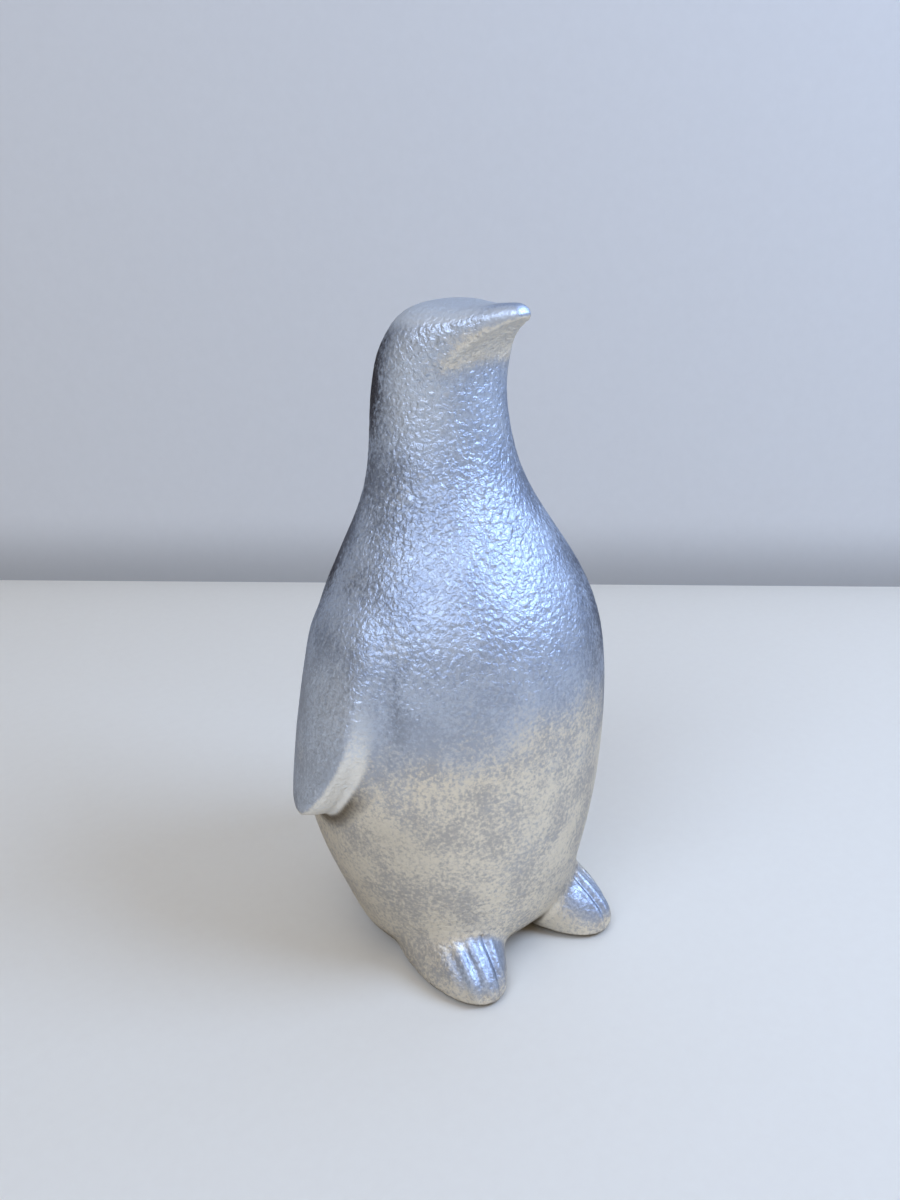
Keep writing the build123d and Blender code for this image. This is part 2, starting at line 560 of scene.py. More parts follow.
@dataclass(frozen=True)
class Lobe:
    """A rounded lobe of clay, cut flat below.

    Attributes:
        centre: the middle of the ellipsoid that it is cut from.
        half_sizes: the ellipsoid's half width, half length and height.
        turn: degrees turned about Z, counted anticlockwise from above.
        floor: the height of the flat cut.
        segments: how many sides the ellipsoid has round its middle, twice as many as its rings.
    """

    centre: tuple[float, float, float]
    half_sizes: tuple[float, float, float]
    turn: float = 0.0
    floor: float = 1.0
    segments: int = 64

    def build(self, name: str) -> bpy.types.Object:
        """Makes the lobe from a sphere that is stretched, turned and cut.

        Args:
            name: the form's name.

        Returns:
            The closed form.
        """
        deselect()
        bpy.ops.mesh.primitive_uv_sphere_add(
            segments=self.segments,
            ring_count=self.segments // 2,
            radius=1,
            location=[c * MM for c in self.centre],
            rotation=(0, 0, math.radians(self.turn)),
            scale=[h * MM for h in self.half_sizes],
        )
        form = bpy.context.object
        form.name = name
        bpy.ops.object.transform_apply(location=True, rotation=True, scale=True)
        bpy.ops.object.mode_set(mode="EDIT")
        bpy.ops.mesh.select_all(action="SELECT")
        bpy.ops.mesh.bisect(
            plane_co=(0, 0, self.floor * MM), plane_no=(0, 0, 1), use_fill=True, clear_inner=True
        )
        bpy.ops.object.mode_set(mode="OBJECT")
        return form


@dataclass(frozen=True)
class Limb:
    """A piece that is luted onto the body, and how its joint is worked over.

    Attributes:
        node: the CAD node that it stands for.
        reach: how far the piece's own skin reaches past the node, over the fillet.
        blend: how far from the joint the clay is smoothed.
        fill: how much clay is pressed into the joint.
        rounds: how many times the joint is smoothed.
        fade: the heights between which a flipper rises out of the shoulder, from 0 to full.
    """

    node: str
    reach: float
    blend: float
    fill: float
    rounds: int
    fade: tuple[float, float] | None = None


@dataclass(frozen=True)
class Groove:
    """A toe groove pressed into a foot with a round tool.

    Attributes:
        across: how far it lies from the foot's middle line, to the penguin's left.
        start: how far ahead of the foot's middle it begins.
        end: how far ahead of the foot's middle it ends.
        depth: how deep it is pressed.
        lean: how far it drifts across from its start to its end.
    """

    across: float
    start: float
    end: float
    depth: float = 0.9
    lean: float = 0.0


@dataclass(frozen=True)
class WearAndPaintedLight:
    """Where the lustre is thin, rubbed smooth or mottled, and where painted light and shade lie.

    A zone is a product of smooth steps, each with the measure that it goes over, where it starts
    and where it is full. The measures are y and z, or a distance from something, in millimetres,
    and how far the surface faces up, left, right or to either side.

    Attributes:
        zones: the steps of each zone.
        marks: for each mark, how much of it the zones bring.
        throat: (y, z) of the middle of the hollow under the beak.
        beak_tip: (y, z) of the middle of the beak's rounded tip.
        slope: how much lower the thin lustre of the belly ends, for each millimetre that a place
            lies further back or further to the penguin's right.
        nape: how far forward the back's painted shade reaches on the neck, and the heights where that
            begins.
        foot_reach: the farthest that a foot is looked for.
        flipper_reach: the farthest that a flipper is looked for.
        flipper_skin: how near to a flipper's form a place still belongs to the flipper.
        toe_cover: how far the toe tops hide the belly's thin lustre.
        flank_cover: how far the flanks' painted shade hides it.
        face_cover: how far the flippers' faces hide it.
        reflection_below: painted warm reflection of the table where a surface faces down, as thin lustre.
        flank_shares: how strong the painted shade of the left and of the right flank is.
        flipper_cover: how far the left flipper weakens its flank's painted shade.
        flank_shade_flakes: how far a flank's painted shade is shown in dark flakes.
        neck_cover: how much milder the back's painted shade is on the neck.
    """

    zones: dict[str, tuple[tuple[str, float, float], ...]] = field(
        default_factory=lambda: {
            "toe_tops": (("foot", 7.5, 1.0), ("up", -0.05, 0.70), ("y", -20.0, -31.0)),
            "low": (("sloped", 90.0, 46.0),),
            # Faces that look down, which take a painted warm reflection of the table
            "below": (("up", -0.1, -0.6),),
            # The arch, the right hip and the places under the flipper tips get painted shade
            "arch": (("z", 12.0, 6.0), ("up", -0.2, -0.6)),
            "right_hip": (("right", 0.5, 0.9), ("z", 56.0, 44.0)),
            "under_tip": (("flipper", 7.0, 1.0), ("z", 60.0, 50.0), ("aside", 0.6, 0.95)),
            "flipper": (("flipper", 1.5, 0.4),),
            "face": (("flipper", 1.5, 0.4), ("rim", 1.6, 3.0), ("z", 92.0, 76.0)),
            "ledge": (("flipper", 1.5, 0.4), ("rim", 3.0, 1.6), ("y", 11.0, 5.0), ("z", 88.0, 62.0)),
            "low_ledge": (("z", 84.0, 62.0),),
            # The flanks that turn to the sides and the back of the head get painted shade
            "left_flank": (("left", 0.15, 0.70), ("z", 48.0, 82.0), ("z", 140.0, 118.0)),
            "right_flank": (("right", 0.72, 0.95), ("z", 48.0, 82.0), ("z", 140.0, 118.0)),
            "chest": (("z", 114.0, 100.0),),
            "behind": (("nape", 2.0, 15.0), ("z", 84.0, 100.0)),
            "neck": (("z", 138.0, 124.0), ("z", 96.0, 106.0)),
            "cheek": (("right", 0.2, 0.7), ("z", 126.0, 138.0), ("y", 8.0, 0.0)),
            "hollow": (("throat", 17.0, 5.0), ("up", 0.20, -0.45)),
            "crown": (("up", 0.40, 0.75), ("z", 146.0, 153.0)),
            "crown_top": (("up", 0.40, 0.75), ("z", 146.0, 153.0), ("beak_tip", 2.0, 9.0)),
            "beak_tip": (("beak_tip", 6.0, 3.0),),
        }
    )
    marks: dict[str, dict[str, float]] = field(
        default_factory=lambda: {
            # Painted shade: a brown under the flipper tips, in the arch and on the right hip
            "soiled": {"under_tip": 0.9, "arch": 0.9, "right_hip": 0.2},
            # Painted light: brighter crown, flipper ledges and faces, cheek, hollow under the beak and low
            # belly
            "burnished": {
                "crown_top": 1.0, "ledge": 1.0, "hollow": 0.6, "face": 0.4, "cheek": 0.5, "low": 0.15
            },
            # Dark flakes: the flipper faces' own mottling, and painted shade on the back, flanks and toe
            # tops
            "mottled": {"face": 0.32, "behind": 1.0, "toe_tops": 0.2},
            "rubbed": {
                "chest": 0.4, "crown": 0.7, "toe_tops": 0.85, "beak_tip": 1.0, "face": 0.45, "ledge": 0.5,
                "low": 0.75,
            },
        }
    )
    throat: tuple[float, float] = (-14.5, 152.0)
    beak_tip: tuple[float, float] = (-19.5, 158.4)
    slope: float = 0.12
    nape: tuple[float, float, float] = (4.0, 108.0, 124.0)
    foot_reach: float = 8.0
    flipper_reach: float = 7.0
    flipper_skin: float = 1.5
    toe_cover: float = 0.9
    flank_cover: float = 0.8
    face_cover: float = 0.75
    reflection_below: float = 0.35
    flank_shares: tuple[float, float] = (0.85, 0.7)
    flipper_cover: float = 0.3
    flank_shade_flakes: float = 0.9
    neck_cover: float = 0.35

    def measure(
        self, skin: bpy.types.Object, trees: dict[str, BVHTree], rims: dict[str, np.ndarray]
    ) -> dict[str, np.ndarray]:
        """Measures the skin at every vertex.

        Args:
            skin: the skin of the whole figure.
            trees: the surfaces of the clay forms by the name of their node.
            rims: the outlines of the flippers by the name of their node.

        Returns:
            One number for each vertex by the name of the measure.
        """
        places, outward = coordinates(skin), normals(skin)
        x, y, z = (places / MM).T
        feet = [
            nearest(places, trees[name], self.foot_reach * MM)[1] for name in ("right_foot", "left_foot")
        ]
        from_flipper, from_rim = np.full(len(z), self.flipper_reach), np.zeros(len(z))
        for name, rim in rims.items():
            gaps = nearest(places, trees[name], self.flipper_reach * MM)[1] / MM
            near = gaps < self.flipper_skin
            from_rim[near] = gaps_to_rim(places[near], rim) / MM
            from_flipper = np.minimum(from_flipper, gaps)
        reach, *heights = self.nape
        return {
            "y": y,
            "z": z,
            "up": outward[:, 2],
            "left": outward[:, 0],
            "right": -outward[:, 0],
            "aside": np.abs(outward[:, 0]),
            "foot": np.minimum(*feet) / MM,
            "flipper": from_flipper,
            "rim": from_rim,
            "sloped": z + self.slope * (y - x),
            "nape": y + reach * ease(z, *heights),
            "throat": np.hypot(y - self.throat[0], z - self.throat[1]),
            "beak_tip": np.hypot(y - self.beak_tip[0], z - self.beak_tip[1]),
        }

    def mark(
        self, skin: bpy.types.Object, trees: dict[str, BVHTree], rims: dict[str, np.ndarray]
    ) -> None:
        """Keeps the lustre's wear on the skin, as one named share for each mark.

        Args:
            skin: the skin of the whole figure.
            trees: the surfaces of the clay forms by the name of their node.
            rims: the outlines of the flippers by the name of their node.
        """
        measures = self.measure(skin, trees, rims)
        zone = {
            name: np.prod([ease(measures[measure], start, end) for measure, start, end in steps], axis=0)
            for name, steps in self.zones.items()
        }
        zone["low"] *= 1 - self.toe_cover * zone["toe_tops"]
        zone["under_tip"] *= 1 - zone["flipper"]
        zone["cheek"] *= 1 - zone["hollow"]
        # Painted shade on the flanks that turn to the sides, shown with the back's in the dark flakes
        left_share, right_share = self.flank_shares
        left_flank = left_share * zone["left_flank"] * (1 - self.flipper_cover * zone["flipper"])
        flanks = np.maximum(left_flank, right_share * zone["right_flank"] * (1 - zone["flipper"]))
        behind = np.maximum(zone["behind"] * (1 - zone["crown"]), self.flank_shade_flakes * flanks)
        zone["behind"] = behind * (1 - self.neck_cover * zone["neck"])
        # Thin lustre on the low belly, and painted warm reflection in the beak's hollow, on low ledges and
        # down-facing faces
        thin = np.maximum(zone["low"] * (1 - self.flank_cover * flanks), zone["hollow"])
        thin *= (1 - self.face_cover * zone["face"]) * (1 - zone["ledge"])
        thin += zone["ledge"] * zone["low_ledge"] + self.reflection_below * zone["below"]
        name_share(skin, "thin_lustre", np.clip(thin, 0, 1))
        for mark, shares in self.marks.items():
            strongest = np.maximum.reduce([share * zone[name] for name, share in shares.items()])
            name_share(skin, mark, np.clip(strongest, 0, 1))


@dataclass
class Skin:
    """The clay forms, worked into one another by hand and parted again along hidden seams."""

    # The spacing of the skin's vertices, as fine as the body's share of triangles allows
    grain: float = 0.63
    limbs: tuple[Limb, ...] = (
        Limb("right_flipper", 2.4, 5.2, 1.25, 26, (100.0, 68.0)),
        Limb("left_flipper", 2.4, 5.2, 1.25, 26, (100.0, 68.0)),
        Limb("right_foot", 2.0, 14.0, 1.5, 170),
        Limb("left_foot", 2.0, 14.0, 1.5, 170),
        Limb("tail", 2.0, 9.0, 1.0, 80),
    )
    # How many times the flippers and the whole skin are evened before they are worked over
    flipper_rounds: int = 8
    skin_rounds: int = 4
    # The flippers' tips are drawn back: how far at the middle, how much more in front, and the
    # heights over which it happens
    tip_setback: tuple[float, float] = (2.4, 0.22)
    tip_heights: tuple[float, float] = (70.0, 50.0)
    tip_drop: float = 4.6
    # The heights over which clay is laid on where the flippers rise out of the shoulders
    shoulder: tuple[float, float] = (105.0, 86.0)
    # The heights over which that place is smoothed, how much lower it starts behind, the stretch
    # of Y over which that changes, and the rounds of smoothing
    shoulder_heights: tuple[float, float] = (82.0, 93.0)
    shoulder_drop: float = 16.0
    shoulder_depths: tuple[float, float] = (0.0, 10.0)
    shoulder_rounds: int = 90
    # How close to a joint the work is full, from 0 at the edge of its blend to 1, the heights
    # above the sole over which it begins, and how far down a place may face to get more clay
    joint_core: float = 0.45
    joint_rise: tuple[float, float] = (0.3, 3.5)
    underside: tuple[float, float] = (-0.45, -0.05)
    # Clay added on the flippers' faces, which the smoothing and the dents take off again
    flipper_gain: float = 0.5
    # Width and slope of the flippers' rolled rim, where it ends behind, its outline's steps, and
    # over how many steps to each side the outline is evened
    rim_width: float = 2.1
    rim_slope: float = 0.62
    rim_end: tuple[float, float] = (12.0, 4.0)
    rim_steps: int = 180
    rim_even: int = 3
    # How deep a seam turns in, the fewest faces that stay apart from the piece round them, the
    # height of the soles, how far the skin stays below the model's top, and the angle in degrees
    # past which an edge stays crisp
    seam_depth: float = 1.6
    least_island: int = 800
    sole: float = 1.0
    top_gap: float = 0.01
    crisp_angle: float = 50.0
    right_foot: Lobe = Lobe((-15.81, -17.52, 3.0), (10.7, 20.35, 11.0), -9.0)
    left_foot: Lobe = Lobe((16.51, -17.42, 3.0), (10.7, 20.35, 11.0), 11.0)
    tail: Lobe = Lobe((0.0, 24.43, 3.0), (9.0, 13.0, 10.0))
    right_grooves: tuple[Groove, ...] = (
        Groove(-2.7, 9.0, 21.5, 0.7, 0.3),
        Groove(2.7, 6.0, 21.5, 0.65, 0.0),
        Groove(-6.2, 7.5, 11.0, 0.35, 0.4),
    )
    left_grooves: tuple[Groove, ...] = (
        Groove(0.0, 6.5, 21.5, 0.9, 0.2),
        Groove(5.4, 7.0, 21.5, 0.8, -0.2),
    )
    # The grooves' width, the height of the lips beside them as a share of the depth, how many
    # widths away these are, and the stretch about its start over which a groove deepens
    groove_width: float = 0.8
    lip_share: float = 0.25
    lip_distance: float = 2.1
    groove_run_in: tuple[float, float] = (-1.5, 3.0)
    # Grooves fade out where the foot faces down, and near the sole
    groove_facing: tuple[float, float] = (-0.35, 0.05)
    groove_rise: tuple[float, float] = (0.1, 1.2)
    # Length and depth of the slow dents left by the hand, then of the finer hammering, and how
    # far both are rubbed out where the lustre is
    dents: tuple[tuple[float, float], ...] = ((6.5, 0.22), (1.5, 0.07))
    rubbed_out: float = 0.85

    def forms(self) -> dict[str, bpy.types.Object]:
        """Builds the closed clay forms, before they are joined.

        Returns:
            The forms by the name of their node.
        """
        body = Body().build()
        forms = {"body_shell": body}
        for limb in self.limbs:
            if limb.fade is not None:
                forms[limb.node] = self.flipper(limb, surface_of(body))
        forms["right_foot"] = self.right_foot.build("clay_right_foot")
        forms["left_foot"] = self.left_foot.build("clay_left_foot")
        forms["tail"] = self.tail.build("clay_tail")
        return forms

    def flipper(self, limb: Limb, body: BVHTree) -> bpy.types.Object:
        """A flipper with a rolled rim, pressed flat into the shoulder at its top.

        Args:
            limb: the flipper's values.
            body: the surface of the body.

        Returns:
            The closed form.
        """
        form = duplicate(frame["nodes"][limb.node], f"clay_{limb.node}")
        finish_modifier(form, "REMESH", "clay", mode="VOXEL", voxel_size=self.grain * MM)
        places = coordinates(form)
        places[:, 0] *= 1 + self.flipper_gain * MM / np.abs(places[:, 0]).max()
        setback, lead = self.tip_setback
        drawn = ease(places[:, 2] / MM, *self.tip_heights)
        places[:, 1] += drawn * (setback * MM - lead * places[:, 1])
        places[:, 2] -= drawn * self.tip_drop * MM
        on_body, _ = nearest(places, body, EVERYWHERE)
        inside = gaps_to_rim(places, self.rim(places))
        leading = ease(places[:, 1] / MM, *self.rim_end)
        rolled = 1 - self.rim_slope * leading * ease(inside / MM, self.rim_width, 0.0)
        full = (ease(places[:, 2] / MM, *limb.fade) * rolled)[:, None]
        move_to(form, on_body + (places - on_body) * full)
        smooth(form, self.flipper_rounds)
        return form

    def rim(self, places: np.ndarray) -> np.ndarray:
        """The outline of a flipper seen from its side.

        Args:
            places: the flipper's vertices, one row each.

        Returns:
            One (y, z) row for each step round the outline.
        """
        flat = places[:, 1:]
        middle = (flat.min(axis=0) + flat.max(axis=0)) / 2
        turns = np.arctan2(*(flat - middle).T[::-1])
        steps = np.round(turns / (2 * math.pi) * self.rim_steps).astype(int) % self.rim_steps
        reach = np.hypot(*(flat - middle).T)
        farthest = np.array([reach[steps == step].max(initial=0) for step in range(self.rim_steps)])
        shifts = range(-self.rim_even, self.rim_even + 1)
        even = sum(np.roll(farthest, shift) for shift in shifts) / len(shifts)
        round_turns = 2 * math.pi * np.arange(self.rim_steps) / self.rim_steps
        return middle + np.column_stack([np.cos(round_turns), np.sin(round_turns)]) * even[:, None]

    def fuse(self) -> bpy.types.Object:
        """Joins the forms, draws one skin over them and works the clay and its lustre over.

        Returns:
            The skin of the whole figure.
        """
        forms = self.forms()
        trees = {name: surface_of(form) for name, form in forms.items()}
        rims = {name: self.rim(coordinates(form)) for name, form in forms.items() if "flipper" in name}
        skin = join(list(forms.values()), "clay")
        grain = self.grain * MM
        finish_modifier(skin, "REMESH", "skin", mode="VOXEL", voxel_size=grain, use_smooth_shade=True)
        smooth(skin, self.skin_rounds)
        self.work_joints(skin, trees)
        # Marks the lustre's wear, and where painted light, painted shade and painted reflection go
        WearAndPaintedLight().mark(skin, trees, rims)
        self.dent(skin)
        places = coordinates(skin)
        places[:, 2] = np.clip(places[:, 2], self.sole * MM, cad_box[1][2] - self.top_gap * MM)
        move_to(skin, places)
        return skin

    def work_joints(self, skin: bpy.types.Object, trees: dict[str, BVHTree]) -> None:
        """Draws the skin back onto the forms, but fills and smooths it where they meet.

        Args:
            skin: the skin of the whole figure.
            trees: the surfaces of the clay forms by the name of their node.
        """
        places, outward = coordinates(skin), normals(skin)
        own, body_gaps = nearest(places, trees["body_shell"], EVERYWHERE)
        own_gaps = body_gaps.copy()
        pressed = np.zeros(len(places))
        above_sole = ease(places[:, 2] / MM, *(self.sole + rise for rise in self.joint_rise))
        joints = {}
        for limb in self.limbs:
            on_limb, gaps = nearest(places, trees[limb.node], limb.blend * MM)
            nearer = gaps < own_gaps
            own = np.where(nearer[:, None], on_limb, own)
            own_gaps = np.minimum(own_gaps, gaps)
            close = np.clip(1 - np.maximum(gaps, body_gaps) / (limb.blend * MM), 0, 1)
            joints[limb.node] = ease(close, 0.0, self.joint_core) * above_sole
            fullness = 1.0 if limb.fade is None else ease(places[:, 2] / MM, *self.shoulder)
            pressed = np.maximum(pressed, limb.fill * close**2 * fullness)
        joint = np.maximum.reduce(list(joints.values()))
        pressed *= ease(outward[:, 2], *self.underside)
        move_to(skin, own + (places - own) * joint[:, None] + outward * pressed[:, None] * MM)
        for limb in self.limbs:
            smooth(skin, limb.rounds, group_share(skin, f"{limb.node}_joint", joints[limb.node]))
        flippers = np.maximum(joints["right_flipper"], joints["left_flipper"])
        _, y, z = (coordinates(skin) / MM).T
        heights = z + self.shoulder_drop * ease(y, *self.shoulder_depths)
        group = group_share(skin, "shoulders", flippers * ease(heights, *self.shoulder_heights))
        smooth(skin, self.shoulder_rounds, group)

    def dent(self, skin: bpy.types.Object) -> None:
        """Presses the dents of the hand and the hammer into the clay.

        Args:
            skin: the skin of the whole figure.
        """
        rubbed = np.empty(len(skin.data.vertices), np.float32)
        skin.data.attributes["rubbed"].data.foreach_get("value", rubbed)
        group = group_share(skin, "hammered", 1 - self.rubbed_out * rubbed)
        for number, (length, depth) in enumerate(self.dents):
            press(skin, f"dents_{number}", length, depth, 1, group)

    def part(self, skin: bpy.types.Object) -> dict[str, bpy.types.Object]:
        """Parts the skin into the body and its limbs, and closes each piece.

        Args:
            skin: the skin of the whole figure.

        Returns:
            The closed pieces by the name of their CAD node.
        """
        outward = skin.data.attributes.new("outward", "FLOAT_VECTOR", "POINT")
        outward.data.foreach_set("vector", normals(skin).astype(np.float32).ravel())
        owner = skin.data.attributes.new("owner", "INT", "FACE")
        owner.data.foreach_set("value", self.owners(skin))
        pieces = {}
        for number, limb in enumerate(self.limbs, start=1):
            pieces[limb.node] = self.take(skin, number)
        self.press_toes(pieces["right_foot"], self.right_foot, self.right_grooves)
        self.press_toes(pieces["left_foot"], self.left_foot, self.left_grooves)
        pieces["body_shell"] = skin
        for name, piece in pieces.items():
            piece.name = f"{name}_skin"
            piece.data.name = piece.name
            self.close(piece)
        return pieces

    def owners(self, skin: bpy.types.Object) -> np.ndarray:
        """Shares the faces out among the body and its limbs.

        Args:
            skin: the skin of the whole figure.

        Returns:
            The number of the limb that each face belongs to, or 0 for the body.
        """
        centres = np.array([f.center for f in skin.data.polygons])
        least = np.full(len(centres), EVERYWHERE)
        owners = np.zeros(len(centres), int)
        for number, limb in enumerate(self.limbs, start=1):
            _, gaps = nearest(centres, surface_of(frame["nodes"][limb.node]), limb.reach * MM)
            taken = (gaps < limb.reach * MM) & (gaps < least)
            owners[taken] = number
            least[taken] = gaps[taken]
        self.settle(skin, owners)
        return owners

    def settle(self, skin: bpy.types.Object, owners: np.ndarray) -> None:
        """Gives each small island of faces to the piece that lies round it.

        Args:
            skin: the skin of the whole figure.
            owners: the number of each face's piece, which is changed in place.
        """
        mesh = bmesh.new()
        mesh.from_mesh(skin.data)
        seen = np.zeros(len(owners), bool)
        for start in mesh.faces:
            if seen[start.index]:
                continue
            seen[start.index] = True
            island, own, around = [start], owners[start.index], owners[start.index]
            # The island grows while it is walked, until its whole edge is known
            for face in island:
                for edge in face.edges:
                    for other in edge.link_faces:
                        if owners[other.index] != own:
                            around = owners[other.index]
                        elif not seen[other.index]:
                            seen[other.index] = True
                            island.append(other)
            if len(island) < self.least_island:
                owners[[face.index for face in island]] = around
        mesh.free()

    def take(self, skin: bpy.types.Object, number: int) -> bpy.types.Object:
        """Separates the faces of one limb from the skin.

        Args:
            skin: the skin of the whole figure, with its faces' owners.
            number: the limb's number.

        Returns:
            The limb's open skin.
        """
        before = set(bpy.data.objects)
        choose(skin)
        values = np.empty(len(skin.data.polygons), int)
        skin.data.attributes["owner"].data.foreach_get("value", values)
        bpy.ops.object.mode_set(mode="EDIT")
        bpy.ops.mesh.select_mode(type="FACE")
        bpy.ops.mesh.select_all(action="DESELECT")
        bpy.ops.object.mode_set(mode="OBJECT")
        skin.data.polygons.foreach_set("select", values == number)
        bpy.ops.object.mode_set(mode="EDIT")
        bpy.ops.mesh.separate(type="SELECTED")
        bpy.ops.object.mode_set(mode="OBJECT")
        return (set(bpy.data.objects) - before).pop()

    def press_toes(self, foot: bpy.types.Object, lobe: Lobe, grooves: tuple[Groove, ...]) -> None:
        """Presses the grooves between the toes into a foot.

        Args:
            foot: the foot's open skin.
            lobe: the lobe that the foot was made from, which gives its middle line.
            grooves: the grooves to press.
        """
        choose(foot)
        bpy.ops.object.mode_set(mode="EDIT")
        bpy.ops.mesh.select_all(action="SELECT")
        bpy.ops.mesh.subdivide(number_cuts=1)
        bpy.ops.object.mode_set(mode="OBJECT")
        places, outward = coordinates(foot), normals(foot)
        turn = math.radians(lobe.turn)
        offset = places[:, :2] / MM - np.array(lobe.centre[:2])
        ahead = offset @ np.array([math.sin(turn), -math.cos(turn)])
        across = offset @ np.array([math.cos(turn), math.sin(turn)])
        pressed = np.zeros(len(places))
        for groove in grooves:
            along = np.clip((ahead - groove.start) / (groove.end - groove.start), 0, 1)
            line = groove.across + groove.lean * along
            aside = np.abs(across - line) / self.groove_width
            profile = np.exp(-(aside**2)) - self.lip_share * np.exp(-((aside - self.lip_distance) ** 2))
            pressed += groove.depth * ease(ahead - groove.start, *self.groove_run_in) * profile
        top = ease(outward[:, 2], *self.groove_facing)
        top *= ease(places[:, 2] / MM - self.sole, *self.groove_rise)
        move_to(foot, places - outward * (pressed * top)[:, None] * MM)

    def close(self, piece: bpy.types.Object) -> None:
        """Turns a piece's open rim inward and fills it, inside the body where it isn't seen.

        Args:
            piece: the open piece.
        """
        choose(piece)
        bpy.ops.object.mode_set(mode="EDIT")
        bpy.ops.mesh.select_mode(type="EDGE")
        bpy.ops.mesh.select_all(action="DESELECT")
        bpy.ops.mesh.select_non_manifold()
        bpy.ops.mesh.extrude_edges_move()
        mesh = bmesh.from_edit_mesh(piece.data)
        outward = mesh.verts.layers.float_vector["outward"]
        for vertex in mesh.verts:
            if vertex.select:
                vertex.co -= vertex[outward] * self.seam_depth * MM
        bmesh.update_edit_mesh(piece.data)
        bpy.ops.mesh.edge_face_add()
        bpy.ops.mesh.select_all(action="DESELECT")
        bpy.ops.mesh.select_non_manifold()
        bpy.ops.mesh.fill_holes(sides=0)
        bpy.ops.mesh.select_all(action="SELECT")
        bpy.ops.mesh.normals_make_consistent(inside=False)
        bpy.ops.object.mode_set(mode="OBJECT")
        bpy.ops.object.shade_smooth_by_angle(angle=math.radians(self.crisp_angle))


@dataclass(frozen=True)
class Pad:
    """A pressed felt pad under a foot or the tail, an oval with a soft rim.

    Attributes:
        node: the CAD node that it stands for.
        centre: the middle of the oval.
        half_sizes: the oval's half width and half length.
        turn: degrees turned about Z.
        profile: (share of the half size, height) of each step from the underside to the top.
        fibre_length: how long the fibres' clumps are.
        fibre_depth: how deep the gaps between them are.
    """

    node: str
    centre: tuple[float, float]
    half_sizes: tuple[float, float]
    turn: float = 0.0
    profile: tuple[tuple[float, float], ...] = (
        (0.2, 0.08), (0.5, 0.05), (0.8, 0.03), (0.94, 0.12), (1.0, 0.36),
        (1.0, 0.66), (0.95, 0.90), (0.8, 0.98), (0.5, 0.99), (0.2, 0.99),
    )
    fibre_length: float = 0.9
    fibre_depth: float = 0.08

    def build(self) -> bpy.types.Object:
        """Makes the pad from a turned disc with a rolled rim and a fibrous face.

        Returns:
            The closed pad.
        """
        pad = turned_form(f"{self.node}_felt", list(self.profile))
        turn = math.radians(self.turn)
        spin = np.array([[math.cos(turn), math.sin(turn)], [-math.sin(turn), math.cos(turn)]])
        places = coordinates(pad)
        flat = places[:, :2] * np.array(self.half_sizes) @ spin + np.array(self.centre) * MM
        move_to(pad, np.column_stack([flat, places[:, 2]]))
        finish_modifier(pad, "SUBSURF", "soft_rim", levels=2, render_levels=2)
        press(pad, "felt_fibres", self.fibre_length, self.fibre_depth, 2)
        deselect()
        pad.select_set(True)
        bpy.ops.object.shade_smooth()
        return pad


@dataclass(frozen=True)
class Bung:
    """The moulded soft bung that closes the pour hole from below.

    Attributes:
        setback: how far behind the origin the hole's middle is.
        seat: the height of the underside that its flange lies against.
        profile: (radius, height above the seat) of each step of the dished flange, the neck with
            its two sealing ribs, and the nose.
        sides: how many sides it has.
        crisp_angle: the angle in degrees past which an edge stays crisp.
    """

    setback: float = 1.93
    seat: float = 3.6
    profile: tuple[tuple[float, float], ...] = (
        (1.2, -0.55), (2.2, -0.62), (2.9, -1.05), (3.4, -1.34), (5.6, -1.36), (6.2, -1.25),
        (6.46, -0.9), (6.46, -0.4), (6.3, -0.1), (6.0, 0.0), (4.3, 0.0), (4.1, 0.15), (4.1, 0.5),
        (4.38, 0.9), (4.38, 1.3), (4.1, 1.7), (4.1, 2.0), (4.38, 2.4), (4.38, 2.8), (4.1, 3.2),
        (3.8, 3.7), (3.2, 3.95), (1.5, 4.0),
    )
    sides: int = 96
    crisp_angle: float = 40.0

    def build(self) -> bpy.types.Object:
        """Makes the bung from its turned profile.

        Returns:
            The closed bung.
        """
        rows = [(radius, self.seat + rise) for radius, rise in self.profile]
        bung = turned_form("pour_hole_bung_moulding", rows, self.sides)
        move_to(bung, coordinates(bung) + np.array([0, self.setback * MM, 0]))
        choose(bung)
        bpy.ops.object.shade_smooth_by_angle(angle=math.radians(self.crisp_angle))
        return bung


def add_node(
    tree: bpy.types.NodeTree,
    kind: str,
    settings: dict[str, object] | None = None,
    inputs: dict[str | int, object] | None = None,
) -> bpy.types.Node:
    """Adds a node, sets it up and links what feeds it.

    Args:
        tree: the node tree.
        kind: the node's type.
        settings: the node's own properties.
        inputs: for each input by name or number, a value or the socket that feeds it.

    Returns:
        The new node.
    """
    node = tree.nodes.new(kind)
    for key, value in (settings or {}).items():
        setattr(node, key, value)
    for key, value in (inputs or {}).items():
        if isinstance(value, bpy.types.NodeSocket):
            tree.links.new(value, node.inputs[key])
        else:
            node.inputs[key].default_value = value
    return node


